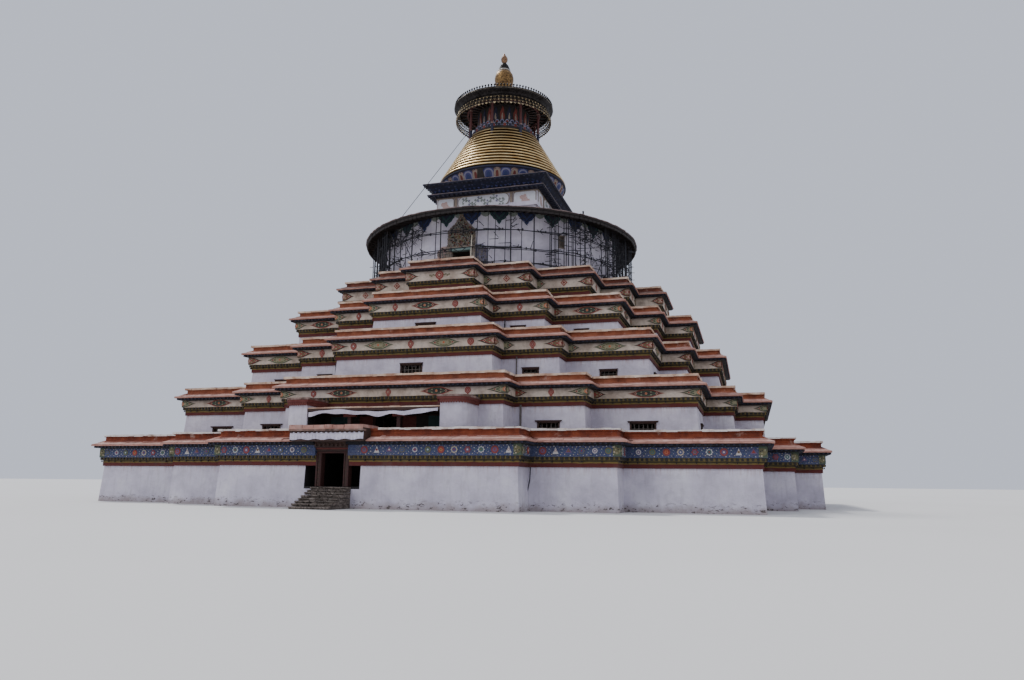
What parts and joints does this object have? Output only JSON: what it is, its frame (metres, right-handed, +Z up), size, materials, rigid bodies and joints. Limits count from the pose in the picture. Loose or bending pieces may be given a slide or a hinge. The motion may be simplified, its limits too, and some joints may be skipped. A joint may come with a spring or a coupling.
{
  "type": "stepped stupa, 1:2 scale model",
  "caption": "White terraced stupa on a stepped square plan with painted cornices, a round drum, gilt ringed spire, parasol and finial; 1:2 scale model.",
  "frame": {"origin": "on the ground under the finial, at the middle of the podium's underside", "axes": "+Z up, -Y towards the entrance front (south), +X to the right of a person facing the entrance (east)"},
  "size_m": [26.35, 27.2254, 21.2754],
  "materials": {
    "limewash": "limewashed masonry",
    "rough_stone": "rough grey stone",
    "blue_frieze": "painted clay cornice, blue ground",
    "grey_frieze": "painted clay cornice, grey-cream ground",
    "pink_slate": "pink slate slabs",
    "ochre_clay": "ochre red clay render, pale coping",
    "dark_timber": "dark weathered timber",
    "pale_cloth": "pale cotton cloth",
    "carved_stucco": "carved and painted stucco",
    "pole_wood": "thin dark poles",
    "painted_navy": "painted timber, dark blue ground",
    "gilt_copper": "gilt copper sheet",
    "aged_gilt": "aged gilt copper, darkened",
    "iron_wire": "thin iron wire"
  },
  "bodies": {
    "root": {"podium": "limewash", "masonry_core": "rough_stone", "storey_1_cornice": "blue_frieze", "storey_1_terrace": "pink_slate", "storey_1_parapet": "ochre_clay", "storey_2_south_wall_left": "limewash", "storey_2_south_wall_right": "limewash", "storey_2_south_wall_over_door": "limewash", "storey_2_east_wall": "limewash", "storey_2_north_wall": "limewash", "storey_2_west_wall": "limewash", "storey_2_cornice": "grey_frieze", "storey_2_terrace": "pink_slate", "storey_2_parapet": "ochre_clay", "storey_3_south_wall": "limewash", "storey_3_east_wall": "limewash", "storey_3_north_wall": "limewash", "storey_3_west_wall": "limewash", "storey_3_cornice": "grey_frieze", "storey_3_terrace": "pink_slate", "storey_3_parapet": "ochre_clay", "storey_4_south_wall": "limewash", "storey_4_east_wall": "limewash", "storey_4_north_wall": "limewash", "storey_4_west_wall": "limewash", "storey_4_cornice": "grey_frieze", "storey_4_terrace": "pink_slate", "storey_4_parapet": "ochre_clay", "storey_5_south_wall": "limewash", "storey_5_east_wall": "limewash", "storey_5_north_wall": "limewash", "storey_5_west_wall": "limewash", "storey_5_cornice": "grey_frieze", "storey_5_terrace": "pink_slate", "storey_5_parapet": "ochre_clay", "entrance_steps": "rough_stone", "entrance_door_frame": "dark_timber", "entrance_hood": "dark_timber", "entrance_valance": "pale_cloth", "porch_pier_west": "limewash", "porch_pier_east": "limewash", "porch_roof": "dark_timber", "porch_awning": "pale_cloth", "drum_wall_east": "limewash", "drum_wall_west": "limewash", "drum_wall_over_door": "limewash", "drum_roof": "dark_timber", "drum_door_surround": "carved_stucco", "scaffold": "pole_wood", "square_block": "limewash", "square_block_eaves": "painted_navy", "spire_base": "painted_navy", "spire_rings": "gilt_copper", "spire_neck": "painted_navy", "parasol": "aged_gilt", "parasol_posts": "dark_timber", "parasol_net": "aged_gilt", "spire_stay": "iron_wire", "finial": "gilt_copper"}
  },
  "joints": []
}
